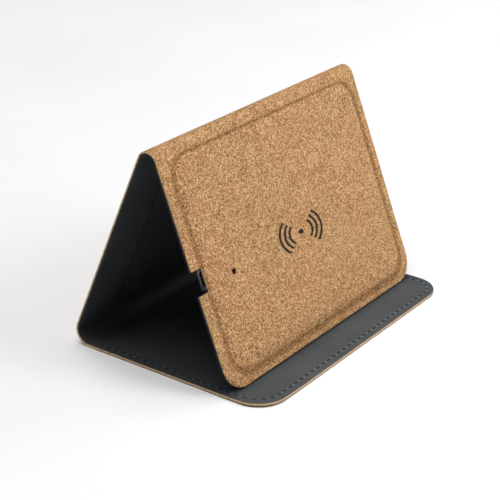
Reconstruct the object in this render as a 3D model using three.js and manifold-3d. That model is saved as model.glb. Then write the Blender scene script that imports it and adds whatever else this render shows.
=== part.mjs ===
// Folding wireless charging pad set up as a three-sided stand.
// One long laminated sheet (cork outside, stiff board, lining inside) has two soft folds, which make
// a base, a back panel and a charging panel. The charging panel holds a foam frame with the charger in it.
// Millimetres, +Z up. X runs across the folds, and the phone leans on the -Y side.
import * as THREE from "three";
import { mergeVertices } from "three/addons/utils/BufferGeometryUtils.js";
import Module from "manifold-3d";

const wasm = await Module();
wasm.setup();
const radians = THREE.MathUtils.degToRad;

// --- Driving dimensions ---------------------------------------------------------------------------

const WIDTH = 170;
const LEDGE = 20.5; // base front edge to the charging panel's lower edge
const FRONT_ANGLE = radians(68.4);
const BACK_ANGLE = radians(66.1);
const FRONT_LENGTH = 119;
const APEX_RADIUS = 6;
const REAR_RADIUS = 8.4;
const BASE_CORNER = 15.5;
const FRONT_CORNER = 13;
const CLEAR = 0.3; // between neighbours that only touch
const SEAM = CLEAR / 2; // each panel and each fold strip stops this far from their shared seam

// Depths of the sheet's three layers below its cork face.
const CORK = { top: 0, bottom: 0.5 };
const BOARD = { top: 0.8, bottom: 1.1, inset: 0.4 };
const LINING = { top: 1.4, bottom: 2 };
const SHEET = LINING.bottom;

// On the charging panel, x runs from its left edge, s up the slope from its lower edge and n out of its
// cork face.
const NOTCH = { x: 7.7, low: 51, high: 63.7 };
const GROOVE = { width: 2, depth: 0.2 };
const PAD = { x0: 8.65, x1: 163.2, s0: 5.25, s1: 117.2, radius: 12 }; // raised area inside the groove
const PAD_RISE = 0.9;
const CORE = { top: 0.1, bottom: -5 }; // the foam frame and the charger lie between these heights
const CHARGER = { x0: 13, x1: 118, s0: 26, s1: 84, wall: 1, floor: 0.5, cover: 0.6 };
const SOCKET = { x: 8.2, s: 57.4, n: -2.55, width: 8.94, height: 3.26, wall: 0.3, length: 7.3 };
const TONGUE = { width: 6.7, thickness: 0.7, setback: 0.8, plug: 2 };
const NOSE = { low: SOCKET.s - 5.4, high: SOCKET.s + 5.4, wall: 0.6, top: -0.95 };
const CIRCUIT = { bottom: -4.2, top: -3.4 };
const COIL = { x: 85.7, s: 54.6, outer: 25, inner: 10, thickness: 0.8 };
const LEAD = { radius: 0.14, innerS: 50, outerS: 60, landing: 28.6 };
const FERRITE = { side: 53, thickness: 0.6 };
const LIGHT = { x: 27.8, s: 54.1, radius: 0.95, top: 0.5 };
const LED = { length: 1.6, width: 0.8, height: 0.55 };
const MAGNET = { xs: [42, 128], s: 10.5, length: 22, width: 4, bottom: -2.6, top: -0.6 };
const KEEPER = { y: 24.4, length: 26, width: 7 };
const STITCHES = { side: 3.3, front: 3.6, rear: 109, width: 0.5, height: 0.25, corner: 12, rearCorner: 3 };

// How far each hinge axis lies outside its fold's arc centre, so that the panels keep clear when laid flat.
const APEX_PIVOT = 2.6;
const REAR_PIVOT = 2.8;

const CORNER_STEPS = 8;
const ARC_STEPS = 18;
const RING_STEPS = 48;
const BEYOND = 1; // how far a cutting solid runs past what it cuts

// --- Side view of the folded sheet, in Y and Z ----------------------------------------------------

const polar = (angle, length) => new THREE.Vector2(Math.cos(angle), Math.sin(angle)).multiplyScalar(length);
const frontNormal = FRONT_ANGLE + Math.PI / 2;
const backNormal = Math.PI / 2 - BACK_ANGLE;
const downNormal = -Math.PI / 2;
// The charging panel leans, so its lining's lower corner is the one that comes down to the base.
const frontFoot = new THREE.Vector2(LEDGE, SHEET + CLEAR + SHEET * Math.cos(FRONT_ANGLE));
const frontTop = frontFoot.clone().add(polar(FRONT_ANGLE, FRONT_LENGTH));
const apex = frontTop.clone().sub(polar(frontNormal, APEX_RADIUS));
const backTop = apex.clone().add(polar(backNormal, APEX_RADIUS));
const BACK_LENGTH = (backTop.y - REAR_RADIUS * (1 + Math.sin(backNormal))) / Math.sin(BACK_ANGLE);
const rear = backTop.clone().add(polar(-BACK_ANGLE, BACK_LENGTH)).sub(polar(backNormal, REAR_RADIUS));
const DEPTH = rear.x + REAR_RADIUS;

const hingePoint = (centre, start, end, offset) => centre.clone().add(polar((start + end) / 2, offset));
const apexHinge = hingePoint(apex, backNormal, frontNormal, APEX_PIVOT);
const rearHinge = hingePoint(rear, downNormal, backNormal, REAR_PIVOT);

// --- Materials ------------------------------------------------------------------------------------

const material = (color, roughness, metalness = 0) =>
  new THREE.MeshStandardMaterial({ color, roughness, metalness });
const cork = material(0xbe9669, 0.85);
const board = material(0x8c7a62, 0.9);
const lining = material(0x4a4c4f, 0.55);
const thread = material(0x2b2c2e, 0.7);
const foam = material(0x2e2e30, 0.95);
const blackPlastic = material(0x141415, 0.5);
const smokedPlastic = material(0x2a2320, 0.2);
const circuitGreen = material(0x14532d, 0.5);
const ferrite = material(0x3a3a3c, 0.7);
const copper = material(0xb87333, 0.35, 1);
const steel = material(0xb8bcc0, 0.35, 1);
const nickel = material(0xc9c9c6, 0.25, 1);
const chipBlack = material(0x1b1b1d, 0.6);
const ceramic = material(0xb59a74, 0.6);
const ledBody = material(0xf1ead0, 0.3);

// --- Solids ---------------------------------------------------------------------------------------

function solidOf(geometry) {
  const bare = geometry.clone();
  bare.deleteAttribute("normal");
  bare.deleteAttribute("uv");
  const merged = mergeVertices(bare, 1e-4);
  return new wasm.Manifold(
    new wasm.Mesh({
      numProp: 3,
      vertProperties: merged.getAttribute("position").array,
      triVerts: new Uint32Array(merged.index.array),
    }),
  );
}

// Applies ["add", geometry] and ["subtract", geometry] steps to a geometry, in order.
function shaped(geometry, ...steps) {
  let solid = solidOf(geometry);
  for (const [operation, other] of steps) {
    solid = solid[operation](solidOf(other));
  }
  const mesh = solid.getMesh();
  const result = new THREE.BufferGeometry();
  result.setAttribute("position", new THREE.BufferAttribute(mesh.vertProperties, 3));
  result.setIndex(new THREE.BufferAttribute(mesh.triVerts, 1));
  const faceted = result.toNonIndexed();
  faceted.computeVertexNormals();
  return faceted;
}

// A rectangle with its four corner radii from the lower left, counter-clockwise.
function rectangle(x0, x1, y0, y1, radii = [0, 0, 0, 0]) {
  const [a, b, c, d] = radii;
  const outline = new THREE.Shape();
  const corner = (x, y, radius, start) => {
    if (radius > 0) {
      outline.absarc(x, y, radius, start, start + Math.PI / 2, false);
    } else {
      outline.lineTo(x, y);
    }
  };
  outline.moveTo(x0 + a, y0);
  corner(x1 - b, y0 + b, b, -Math.PI / 2);
  corner(x1 - c, y1 - c, c, 0);
  corner(x0 + d, y1 - d, d, Math.PI / 2);
  if (a > 0) {
    corner(x0 + a, y0 + a, a, Math.PI);
  }
  return outline;
}

function roundedPlan(plan, grow = 0) {
  const radius = plan.radius + grow;
  const radii = [radius, radius, radius, radius];
  return rectangle(plan.x0 - grow, plan.x1 + grow, plan.s0 - grow, plan.s1 + grow, radii);
}

// A straight-sided solid on an outline, from one height to another.
function slab(outline, low, high) {
  const options = { depth: high - low, bevelEnabled: false, curveSegments: CORNER_STEPS };
  return new THREE.ExtrudeGeometry(outline, options).translate(0, 0, low);
}

function box(x0, x1, y0, y1, z0, z1) {
  const block = new THREE.BoxGeometry(x1 - x0, y1 - y0, z1 - z0);
  return block.translate((x0 + x1) / 2, (y0 + y1) / 2, (z0 + z1) / 2);
}

// A box by its middle in plan, its size in plan, and its bottom and top.
function blockAt(x, y, length, width, bottom, top) {
  return box(x - length / 2, x + length / 2, y - width / 2, y + width / 2, bottom, top);
}

function disc(x, y, radius, bottom, top) {
  const cylinder = new THREE.CylinderGeometry(radius, radius, top - bottom, 3 * CORNER_STEPS);
  return cylinder.rotateX(Math.PI / 2).translate(x, y, (bottom + top) / 2);
}

// A solid whose section, drawn in the shape's x and y, lies in Y and Z and runs from x0 to x1.
function alongX(section, x0, x1, steps = ARC_STEPS) {
  const options = { depth: x1 - x0, bevelEnabled: false, curveSegments: steps };
  const upright = new THREE.ExtrudeGeometry(section, options);
  return upright.rotateY(Math.PI / 2).rotateX(Math.PI / 2).translate(x0, 0, 0);
}

// A block on a rounded plan. Its rings are [inset from the plan, height] pairs from the bottom up.
function pillow(plan, rings) {
  const levels = rings.length - 1;
  const options = { depth: levels, steps: levels, bevelEnabled: false, curveSegments: CORNER_STEPS };
  const geometry = new THREE.ExtrudeGeometry(roundedPlan(plan), options);
  const position = geometry.getAttribute("position");
  for (let i = 0; i < position.count; i += 1) {
    const [inset, height] = rings[Math.round(position.getZ(i))];
    const x = position.getX(i);
    const s = position.getY(i);
    const coreX = THREE.MathUtils.clamp(x, plan.x0 + plan.radius, plan.x1 - plan.radius);
    const coreS = THREE.MathUtils.clamp(s, plan.s0 + plan.radius, plan.s1 - plan.radius);
    const keep = 1 - inset / plan.radius;
    position.setXYZ(i, coreX + (x - coreX) * keep, coreS + (s - coreS) * keep, height);
  }
  return geometry;
}

// A wire through points given as [x, s, n].
function wire(points, radius) {
  const path = new THREE.CatmullRomCurve3(points.map((point) => new THREE.Vector3(...point)));
  const section = new THREE.Shape().absarc(0, 0, radius, 0, 2 * Math.PI, false);
  return new THREE.ExtrudeGeometry(section, { steps: 24, curveSegments: 4, extrudePath: path });
}

function named(name, geometry, finish) {
  const mesh = new THREE.Mesh(geometry, finish);
  mesh.name = name;
  return mesh;
}

// --- Base: cork side down, lining side up ---------------------------------------------------------

function makeBaseLayer(depths) {
  const inset = depths.inset ?? 0;
  const radius = BASE_CORNER - inset;
  const outline = rectangle(inset, WIDTH - inset, inset, rear.x - SEAM - inset, [radius, radius, 0, 0]);
  return slab(outline, depths.top, depths.bottom);
}

// The board has a window round each steel plate that a magnet pulls on.
function makeBaseBoard() {
  const length = KEEPER.length + 2 * CLEAR;
  const width = KEEPER.width + 2 * CLEAR;
  const windows = MAGNET.xs.map((x) => ["subtract", blockAt(x, KEEPER.y, length, width, 0, SHEET)]);
  return shaped(makeBaseLayer(BOARD), ...windows);
}

function makeStitchRing() {
  const seam = (grow) => {
    const side = STITCHES.side + grow;
    const front = STITCHES.corner - grow;
    const back = STITCHES.rearCorner - grow;
    const radii = [front, front, back, back];
    return rectangle(side, WIDTH - side, STITCHES.front + grow, STITCHES.rear - grow, radii);
  };
  const ring = seam(0);
  ring.holes.push(seam(STITCHES.width));
  return slab(ring, SHEET, SHEET + STITCHES.height);
}

function makeBase() {
  const group = new THREE.Group();
  group.add(
    named("base_cork_skin", makeBaseLayer(CORK), cork),
    named("base_stiffener_board", makeBaseBoard(), board),
    named("base_lining", makeBaseLayer(LINING), lining),
    named("base_edge_stitching", makeStitchRing(), thread),
  );
  MAGNET.xs.forEach((x, i) => {
    const plate = blockAt(x, KEEPER.y, KEEPER.length, KEEPER.width, BOARD.top, BOARD.bottom);
    group.add(named(`base_keeper_plate_${i + 1}`, plate, steel));
  });
  return group;
}

// --- Folds ----------------------------------------------------------------------------------------

// The stretch of one layer that goes round a fold, between the angles of its outward normals.
function foldStrip(centre, radius, layer, start, end) {
  const clear = SEAM / (radius - layer.bottom);
  const section = new THREE.Shape();
  section.absarc(centre.x, centre.y, radius - layer.top, start + clear, end - clear, false);
  section.absarc(centre.x, centre.y, radius - layer.bottom, end - clear, start + clear, true);
  return alongX(section, 0, WIDTH);
}

function makeFolds() {
  const group = new THREE.Group();
  group.add(
    named("rear_fold_cork", foldStrip(rear, REAR_RADIUS, CORK, downNormal, backNormal), cork),
    named("rear_fold_lining", foldStrip(rear, REAR_RADIUS, LINING, downNormal, backNormal), lining),
    named("apex_fold_cork", foldStrip(apex, APEX_RADIUS, CORK, backNormal, frontNormal), cork),
    named("apex_fold_lining", foldStrip(apex, APEX_RADIUS, LINING, backNormal, frontNormal), lining),
  );
  return group;
}

// --- Back panel: runs down from the top fold to the rear fold -------------------------------------

function makeBackLayer(depths) {
  const inset = depths.inset ?? 0;
  const outline = rectangle(inset, WIDTH - inset, SEAM + inset, BACK_LENGTH - SEAM - inset);
  return slab(outline, -depths.bottom, -depths.top);
}

function makeBack() {
  const group = new THREE.Group();
  group.position.set(0, backTop.x, backTop.y);
  group.rotation.x = -BACK_ANGLE;
  group.add(
    named("back_cork_skin", makeBackLayer(CORK), cork),
    named("back_stiffener_board", makeBackLayer(BOARD), board),
    named("back_lining", makeBackLayer(LINING), lining),
  );
  return group;
}

// --- Charging panel: skins, board and foam frame --------------------------------------------------

function panelOutline(inset = 0) {
  const radius = FRONT_CORNER - inset;
  return rectangle(inset, WIDTH - inset, inset, FRONT_LENGTH - SEAM - inset, [radius, radius, 0, 0]);
}

const notch = (grow = 0, reach = NOTCH.x) =>
  box(-BEYOND, reach, NOTCH.low - grow, NOTCH.high + grow, CORE.bottom - 2, PAD_RISE + BEYOND);

// The way through the pad's left side for the charger's nose.
const noseWay = (bottom, top) =>
  box(NOTCH.x - BEYOND, CHARGER.x0 + BEYOND, NOSE.low - CLEAR, NOSE.high + CLEAR, bottom, top);

const lightHole = () => disc(LIGHT.x, LIGHT.s, LIGHT.radius + CLEAR, CORE.bottom, PAD_RISE + BEYOND);

function makeFrontCork() {
  const groove = slab(roundedPlan(PAD, GROOVE.width), -GROOVE.depth, PAD_RISE);
  const rise = pillow(PAD, [
    [0, -CORK.bottom],
    [0, -0.3],
    [0.9, 0.35],
    [2, 0.75],
    [3.4, PAD_RISE],
  ]);
  const hollow = pillow(PAD, [
    [1.2, -CORK.bottom - BEYOND],
    [1.2, -CORK.bottom],
    [1.7, -0.2],
    [2.7, 0.2],
    [4.2, PAD_RISE - CORK.bottom],
  ]);
  return shaped(
    slab(panelOutline(), -CORK.bottom, 0),
    ["subtract", groove],
    ["add", rise],
    ["subtract", hollow],
    ["subtract", notch()],
    ["subtract", lightHole()],
  );
}

function makeFrontLining() {
  const hollowBottom = CORE.bottom - CLEAR;
  const thickness = LINING.bottom - LINING.top;
  const bulge = pillow(PAD, [
    [2.6, hollowBottom - thickness],
    [1.2, hollowBottom - 0.2],
    [0.3, -4.1],
    [0, -LINING.bottom],
    [0, -LINING.top],
  ]);
  const hollow = pillow(PAD, [
    [3.5, hollowBottom],
    [1.9, -4.7],
    [1.2, -3.6],
    [1.2, -LINING.top + 0.1],
  ]);
  return shaped(
    slab(panelOutline(), -LINING.bottom, -LINING.top),
    ["add", bulge],
    ["subtract", hollow],
    ["subtract", notch()],
    ["subtract", noseWay(hollowBottom, 0)],
  );
}

function makeFrontBoard() {
  return shaped(
    slab(panelOutline(BOARD.inset), -BOARD.bottom, -BOARD.top),
    ["subtract", slab(roundedPlan(PAD, CLEAR), -SHEET, 0)],
    ["subtract", notch(BOARD.inset, PAD.x0)],
  );
}

function makeFoamFrame() {
  const block = pillow(PAD, [
    [4, CORE.bottom],
    [2.4, -4.5],
    [1.6, -3.4],
    [1.6, -0.9],
    [2.2, -0.45],
    [3.2, -0.1],
    [4.6, CORE.top],
  ]);
  const { x0, x1, s0, s1 } = CHARGER;
  const below = CORE.bottom - BEYOND;
  const pocket = box(x0 - CLEAR, x1 + CLEAR, s0 - CLEAR, s1 + CLEAR, below, PAD_RISE);
  const magnetPocket = (x) => {
    const length = MAGNET.length + 2 * CLEAR;
    return blockAt(x, MAGNET.s, length, MAGNET.width + 2 * CLEAR, MAGNET.bottom - CLEAR, PAD_RISE);
  };
  return shaped(
    block,
    ["subtract", pocket],
    ["subtract", noseWay(below, SOCKET.n + SOCKET.height / 2 + CLEAR)],
    ...MAGNET.xs.map((x) => ["subtract", magnetPocket(x)]),
  );
}

// --- Charger --------------------------------------------------------------------------------------

function makeTray() {
  const { x0, x1, s0, s1, wall, floor, cover } = CHARGER;
  const floorTop = CORE.bottom + floor;
  const rim = CORE.top - cover - CLEAR;
  const inside = box(x0 + wall, x1 - wall, s0 + wall, s1 - wall, floorTop, PAD_RISE);
  const noseLow = NOSE.low + NOSE.wall;
  const noseHigh = NOSE.high - NOSE.wall;
  const noseInside = box(0, x0 + wall + BEYOND, noseLow, noseHigh, floorTop, PAD_RISE);
  return shaped(
    box(x0, x1, s0, s1, CORE.bottom, rim),
    ["add", box(SOCKET.x, x0 + wall, NOSE.low, NOSE.high, CORE.bottom, NOSE.top)],
    ["subtract", inside],
    ["subtract", noseInside],
  );
}

function makeCover() {
  const { x0, x1, s0, s1, cover } = CHARGER;
  return shaped(box(x0, x1, s0, s1, CORE.top - cover, CORE.top), ["subtract", lightHole()]);
}

function makeCircuitBoard() {
  const { x0, x1, s0, s1, wall } = CHARGER;
  const edge = wall + CLEAR;
  const bayLength = SOCKET.length + 2 * CLEAR;
  const bayWidth = SOCKET.width + 2 * CLEAR;
  const bay = blockAt(SOCKET.x + SOCKET.length / 2, SOCKET.s, bayLength, bayWidth, CORE.bottom, 0);
  return shaped(
    box(x0 + edge, x1 - edge, s0 + edge, s1 - edge, CIRCUIT.bottom, CIRCUIT.top),
    ["subtract", bay],
  );
}

// The socket's round-ended mouth as a section in s and n.
function socketSection(inset) {
  const radius = SOCKET.height / 2 - inset;
  const reach = SOCKET.width / 2 - inset - radius;
  const section = new THREE.Shape();
  section.absarc(SOCKET.s + reach, SOCKET.n, radius, -Math.PI / 2, Math.PI / 2, false);
  section.absarc(SOCKET.s - reach, SOCKET.n, radius, Math.PI / 2, 1.5 * Math.PI, false);
  return section;
}

function makeSocketShell() {
  const section = socketSection(0);
  section.holes.push(socketSection(SOCKET.wall));
  return alongX(section, SOCKET.x, SOCKET.x + SOCKET.length, CORNER_STEPS);
}

// A plug of plastic closes the shell's inner end and carries the flat tongue.
function makeSocketTongue() {
  const { width, thickness, setback, plug } = TONGUE;
  const back = SOCKET.x + SOCKET.length;
  const middle = (SOCKET.x + setback + back) / 2;
  const length = back - SOCKET.x - setback - plug / 2;
  const tongue = blockAt(middle - plug / 4, SOCKET.s, length, width, -thickness / 2, thickness / 2);
  return shaped(
    alongX(socketSection(SOCKET.wall + CLEAR), back - plug, back, CORNER_STEPS),
    ["add", tongue.translate(0, 0, SOCKET.n)],
  );
}

function makeCoil(bottom) {
  const top = bottom + COIL.thickness;
  const corners = [
    [COIL.inner, bottom],
    [COIL.outer, bottom],
    [COIL.outer, top],
    [COIL.inner, top],
    [COIL.inner, bottom],
  ];
  const profile = corners.map(([radius, height]) => new THREE.Vector2(radius, height));
  return new THREE.LatheGeometry(profile, RING_STEPS).rotateX(Math.PI / 2).translate(COIL.x, COIL.s, 0);
}

// The coil's inner end comes up through its middle and crosses over the winding to the circuit board.
function makeInnerLead(bed, coilBottom) {
  const over = coilBottom + COIL.thickness + CLEAR + LEAD.radius;
  const route = [
    [8, coilBottom + 0.4],
    [8.2, over - 0.3],
    [9.5, over],
    [12, over],
    [COIL.outer, over],
    [COIL.outer + 2, over - 0.3],
    [LEAD.landing - 0.4, over - 1.2],
    [LEAD.landing, bed + LEAD.radius],
  ];
  return wire(route.map(([left, height]) => [COIL.x - left, LEAD.innerS, height]), LEAD.radius);
}

function makeOuterLead(bed, coilBottom) {
  const route = [
    [COIL.outer + 0.2, coilBottom + 0.5],
    [COIL.outer + 2, coilBottom + 0.3],
    [LEAD.landing - 0.2, bed + 0.6],
    [LEAD.landing, bed + LEAD.radius],
  ];
  return wire(route.map(([left, height]) => [COIL.x - left, LEAD.outerS, height]), LEAD.radius);
}

function makeCircuitParts(bed) {
  const onBoard = (name, size, finish) => {
    const { x, s, length, width, height } = size;
    return named(name, blockAt(x, s, length, width, bed, bed + height), finish);
  };
  const parts = [
    onBoard("status_led", { ...LED, x: LIGHT.x, s: LIGHT.s }, ledBody),
    onBoard("controller_chip", { x: 34, s: 66, length: 5, width: 5, height: 0.9 }, chipBlack),
    onBoard("driver_chip", { x: 43, s: 66, length: 4, width: 4, height: 0.8 }, chipBlack),
    onBoard("input_capacitor", { x: 22, s: 70, length: 3.2, width: 1.6, height: 1.6 }, ceramic),
  ];
  const resonant = { count: 4, x: 53, s: 33, pitch: 4, length: 3.2, width: 2.5, height: 1.8 };
  for (let i = 0; i < resonant.count; i += 1) {
    const size = { ...resonant, s: resonant.s + i * resonant.pitch };
    parts.push(onBoard(`resonant_capacitor_${i + 1}`, size, ceramic));
  }
  return parts;
}

function makeCharger() {
  const bed = CIRCUIT.top + CLEAR; // what stands on the circuit board starts here
  const ferriteTop = bed + FERRITE.thickness;
  const coilBottom = ferriteTop + CLEAR;
  const pipeBottom = bed + LED.height + CLEAR;
  const shield = blockAt(COIL.x, COIL.s, FERRITE.side, FERRITE.side, bed, ferriteTop);
  return [
    named("charger_tray", makeTray(), blackPlastic),
    named("charger_cover", makeCover(), blackPlastic),
    named("circuit_board", makeCircuitBoard(), circuitGreen),
    named("ferrite_sheet", shield, ferrite),
    named("transmit_coil", makeCoil(coilBottom), copper),
    named("coil_lead_inner", makeInnerLead(bed, coilBottom), copper),
    named("coil_lead_outer", makeOuterLead(bed, coilBottom), copper),
    named("usb_socket_shell", makeSocketShell(), nickel),
    named("usb_socket_tongue", makeSocketTongue(), blackPlastic),
    named("light_pipe", disc(LIGHT.x, LIGHT.s, LIGHT.radius, pipeBottom, LIGHT.top), smokedPlastic),
    ...makeCircuitParts(bed),
  ];
}

function makeFront() {
  const group = new THREE.Group();
  group.position.set(0, frontFoot.x, frontFoot.y);
  group.rotation.x = FRONT_ANGLE;
  group.add(
    named("front_cork_skin", makeFrontCork(), cork),
    named("front_stiffener_board", makeFrontBoard(), board),
    named("front_lining", makeFrontLining(), lining),
    named("foam_frame", makeFoamFrame(), foam),
    ...makeCharger(),
  );
  MAGNET.xs.forEach((x, i) => {
    const bar = blockAt(x, MAGNET.s, MAGNET.length, MAGNET.width, MAGNET.bottom, MAGNET.top);
    group.add(named(`edge_magnet_${i + 1}`, bar, nickel));
  });
  return group;
}

// --- Whole stand, with its origin under the middle of its footprint -------------------------------

const stand = new THREE.Group();
stand.position.set(-WIDTH / 2, -DEPTH / 2, 0);
stand.add(makeBase(), makeFolds(), makeBack(), makeFront());

// Y and Z of a point on each fold's hinge axis, which runs along X, and of the charging face over the coil.
const inStand = (point) => [point.x - DEPTH / 2, point.y];
const coilFace = frontFoot.clone().add(polar(FRONT_ANGLE, COIL.s)).add(polar(frontNormal, PAD_RISE));
stand.userData = {
  rearFold: inStand(rearHinge),
  apexFold: inStand(apexHinge),
  chargingFace: inStand(coilFace),
};

export default stand;
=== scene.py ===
"""Looks of the folding cork charging pad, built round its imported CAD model. Metres, +Z up."""

import random
from math import atan2, cos, dist, hypot, pi, radians, sin

import bmesh
import bpy
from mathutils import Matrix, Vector


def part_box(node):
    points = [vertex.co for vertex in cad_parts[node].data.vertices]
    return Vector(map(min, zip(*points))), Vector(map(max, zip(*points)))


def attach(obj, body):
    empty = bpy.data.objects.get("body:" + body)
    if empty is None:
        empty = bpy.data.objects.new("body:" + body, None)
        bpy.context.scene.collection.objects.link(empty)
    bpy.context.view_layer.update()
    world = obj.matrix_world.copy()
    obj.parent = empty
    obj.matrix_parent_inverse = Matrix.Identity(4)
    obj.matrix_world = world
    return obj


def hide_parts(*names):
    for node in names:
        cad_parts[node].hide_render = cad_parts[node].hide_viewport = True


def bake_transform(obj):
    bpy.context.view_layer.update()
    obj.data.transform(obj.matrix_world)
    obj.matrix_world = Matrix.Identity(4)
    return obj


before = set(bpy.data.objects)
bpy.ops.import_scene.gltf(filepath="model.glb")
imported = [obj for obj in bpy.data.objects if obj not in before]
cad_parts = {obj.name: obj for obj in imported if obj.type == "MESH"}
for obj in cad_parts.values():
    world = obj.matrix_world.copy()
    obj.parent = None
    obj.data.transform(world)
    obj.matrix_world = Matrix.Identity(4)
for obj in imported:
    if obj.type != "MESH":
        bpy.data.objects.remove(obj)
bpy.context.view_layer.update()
MM = 0.001


def mm(**sizes):
    """Named sizes given in millimetres, as a dict in metres."""
    return {name: size * MM for name, size in sizes.items()}


# --- Sizes, from the frame where it gives them ---

BASE_LOW, BASE_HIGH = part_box("base_lining")
SHEET = BASE_HIGH.z  # whole thickness of cork, board and lining
X_LEFT = BASE_LOW.x
WIDTH = BASE_HIGH.x - X_LEFT
BASE_FRONT = BASE_LOW.y

FRONT_ANGLE = radians(68.4)
BACK_ANGLE = radians(66.1)
FRONT_LENGTH = 119 * MM
APEX_RADIUS = 6 * MM
REAR_RADIUS = 8.4 * MM
LEDGE = 20.5 * MM
CLEAR = 0.3 * MM
BASE_CORNER = 15.5 * MM
FRONT_CORNER = 13 * MM

# Depths below the cork face. Board and glue lie between the skins, which close up at the sheet's rim.
CORK_BACK = 0.5 * MM
LINING_FRONT = 1.4 * MM
# The skins meet this deep along the rims of the base, the back panel and the charging panel.
BASE_MEET = 1.72 * MM
BACK_MEET = 1.0 * MM
CHARGING_MEET = 0.5 * MM
RIM_SHADOW_DEPTH = 0.62 * MM  # the base's cut rim is painted dark from here to its cork face: painted contact shadow where the sheet meets the table
SKIN_GAP = 0.04 * MM  # between the two skins where they meet
RIM = 0.32 * MM  # how wide the closed-up rim is
ROUND_DROP = 0.22 * MM  # how far a skin curves away at its cut edge
ROUND_REACH = 0.45  # and over how many millimetres
CURL_RISE = 0.7 * MM  # how far the base's front left corner has lifted off the table
CURL_REACH = 30 * MM
FOLD_OVERLAP = 3 * MM  # the fold pieces run this far onto the flat panels
APEX_END_OVERLAP = 0.4 * MM  # less there, because the pad's pressed line comes close to the apex fold

# On the charging panel: x from the left edge, s up the slope, n out of the cork face.
NOTCH = mm(x=7.7, low=51, high=63.7)
PAD = mm(x0=8.65, x1=163.2, s0=5.25, s1=117.2, radius=12)
PAD_RISE = 0.9 * MM
CROWN = 0.93 * MM  # the middle of the pad
SOCKET = mm(x=8.2, s=57.4, n=-2.55, width=8.94, height=3.26)
SIGN = mm(x=85.7, s=54.7, dot=2.1, line=1.85)
SIGN_SPREAD = radians(46)  # half of what each arc of the sign spans
SIGN_RADII = [9.75 * MM, 13.65 * MM, 17.7 * MM]
SIGN_SQUASH = 0.63  # the printed sign is drawn flatter up the slope than across it
SIGN_TILT = -0.05  # how much it falls for each unit across
LIGHT = mm(x=27.8, s=54.1, radius=1.65)
STITCH = mm(side=3.55, front=3.85, rear=108.7, corner=11.8)
THREAD = mm(pitch=4.82, length=3.6, thick=0.72)
PRESSED_LINE = 27 * MM  # from the left edge, on the back panel's lining

# --- Side view: points in Y and Z, and the three panels' own frames ---


def polar(angle, length):
    return Vector((cos(angle), sin(angle))) * length


FRONT_NORMAL = FRONT_ANGLE + pi / 2
BACK_NORMAL = pi / 2 - BACK_ANGLE
DOWN_NORMAL = -pi / 2
FRONT_FOOT = Vector((BASE_FRONT + LEDGE, SHEET + CLEAR + SHEET * cos(FRONT_ANGLE)))
FRONT_TOP = FRONT_FOOT + polar(FRONT_ANGLE, FRONT_LENGTH)
APEX = FRONT_TOP - polar(FRONT_NORMAL, APEX_RADIUS)
BACK_TOP = APEX + polar(BACK_NORMAL, APEX_RADIUS)
BACK_DROP = BACK_TOP.y - REAR_RADIUS * (1 + sin(BACK_NORMAL))
BACK_LENGTH = BACK_DROP / sin(BACK_ANGLE)
BACK_FOOT = BACK_TOP + polar(-BACK_ANGLE, BACK_LENGTH)
REAR = BACK_FOOT - polar(BACK_NORMAL, REAR_RADIUS)
BASE_LENGTH = REAR.x - BASE_FRONT


class Panel:
    """A flat stretch of the sheet: a start point, the way it runs, and the way its cork face looks."""

    def __init__(self, start, run, normal, v_start):
        self.start = start
        self.run = run
        self.normal = normal
        self.v_start = v_start  # distance along the flat sheet, for the grain

    def at(self, x, s, n):
        point = self.start + polar(self.run, s) + polar(self.normal, n)
        return Vector((X_LEFT + x, point.x, point.y))

    def grain(self, x, s):
        return x, self.v_start + s


APEX_TURN = FRONT_NORMAL - BACK_NORMAL
REAR_TURN = BACK_NORMAL - DOWN_NORMAL
V_BACK = BASE_LENGTH + REAR_RADIUS * REAR_TURN
V_FRONT = V_BACK + BACK_LENGTH + APEX_RADIUS * APEX_TURN

base_panel = Panel(Vector((BASE_FRONT, 0)), 0.0, DOWN_NORMAL, 0.0)
back_panel = Panel(BACK_FOOT, pi - BACK_ANGLE, BACK_NORMAL, V_BACK)
front_panel = Panel(FRONT_TOP, FRONT_ANGLE + pi, FRONT_NORMAL, V_FRONT)


class Slope:
    """The charging panel again, with s measured up from its lower edge."""

    def at(self, x, s, n):
        return front_panel.at(x, FRONT_LENGTH - s, n)

    def grain(self, x, s):
        return front_panel.grain(x, FRONT_LENGTH - s)


charging = Slope()


def smooth(t):
    t = min(max(t, 0.0), 1.0)
    return t * t * (3 - 2 * t)


def bump(distance, half_width):
    """1 at the middle of a line, falling smoothly to 0 at half_width away."""
    return smooth(1 - abs(distance) / half_width)


# --- Node helpers ---


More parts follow.
